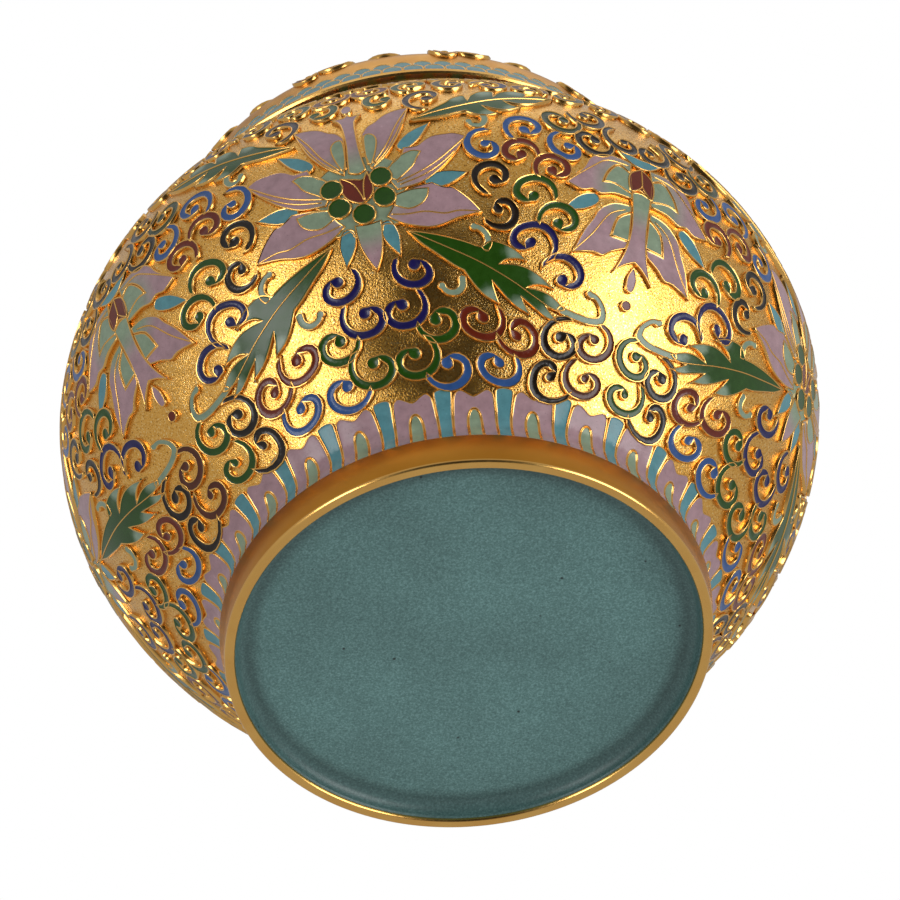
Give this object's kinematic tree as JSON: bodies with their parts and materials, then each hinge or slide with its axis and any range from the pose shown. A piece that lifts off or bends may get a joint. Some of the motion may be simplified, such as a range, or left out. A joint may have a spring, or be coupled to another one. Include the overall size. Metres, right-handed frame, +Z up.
{
  "type": "champleve ginger jar",
  "caption": "Squat round ginger jar of gilt metal with raised enamel blossoms, leaves and scrolls, a ring foot round a recessed base, a short neck and a loose domed cap.",
  "frame": {"origin": "centre of the foot ring at the surface that the jar stands on", "axes": "+Z up along the jar's axis to the crown of the lid, -Y towards the side that the picture shows best"},
  "size_m": [0.1708, 0.1708, 0.1627],
  "materials": {
    "gilt": "polished gilding over copper, the ground between the cells finely punched",
    "enamel": "glossy fired enamel in pink, green, turquoise, blue, red and black cells",
    "counter_enamel": "speckled teal counter enamel with a soft gloss"
  },
  "bodies": {
    "root": {"jar_body": "gilt", "lid": "gilt"}
  },
  "joints": []
}
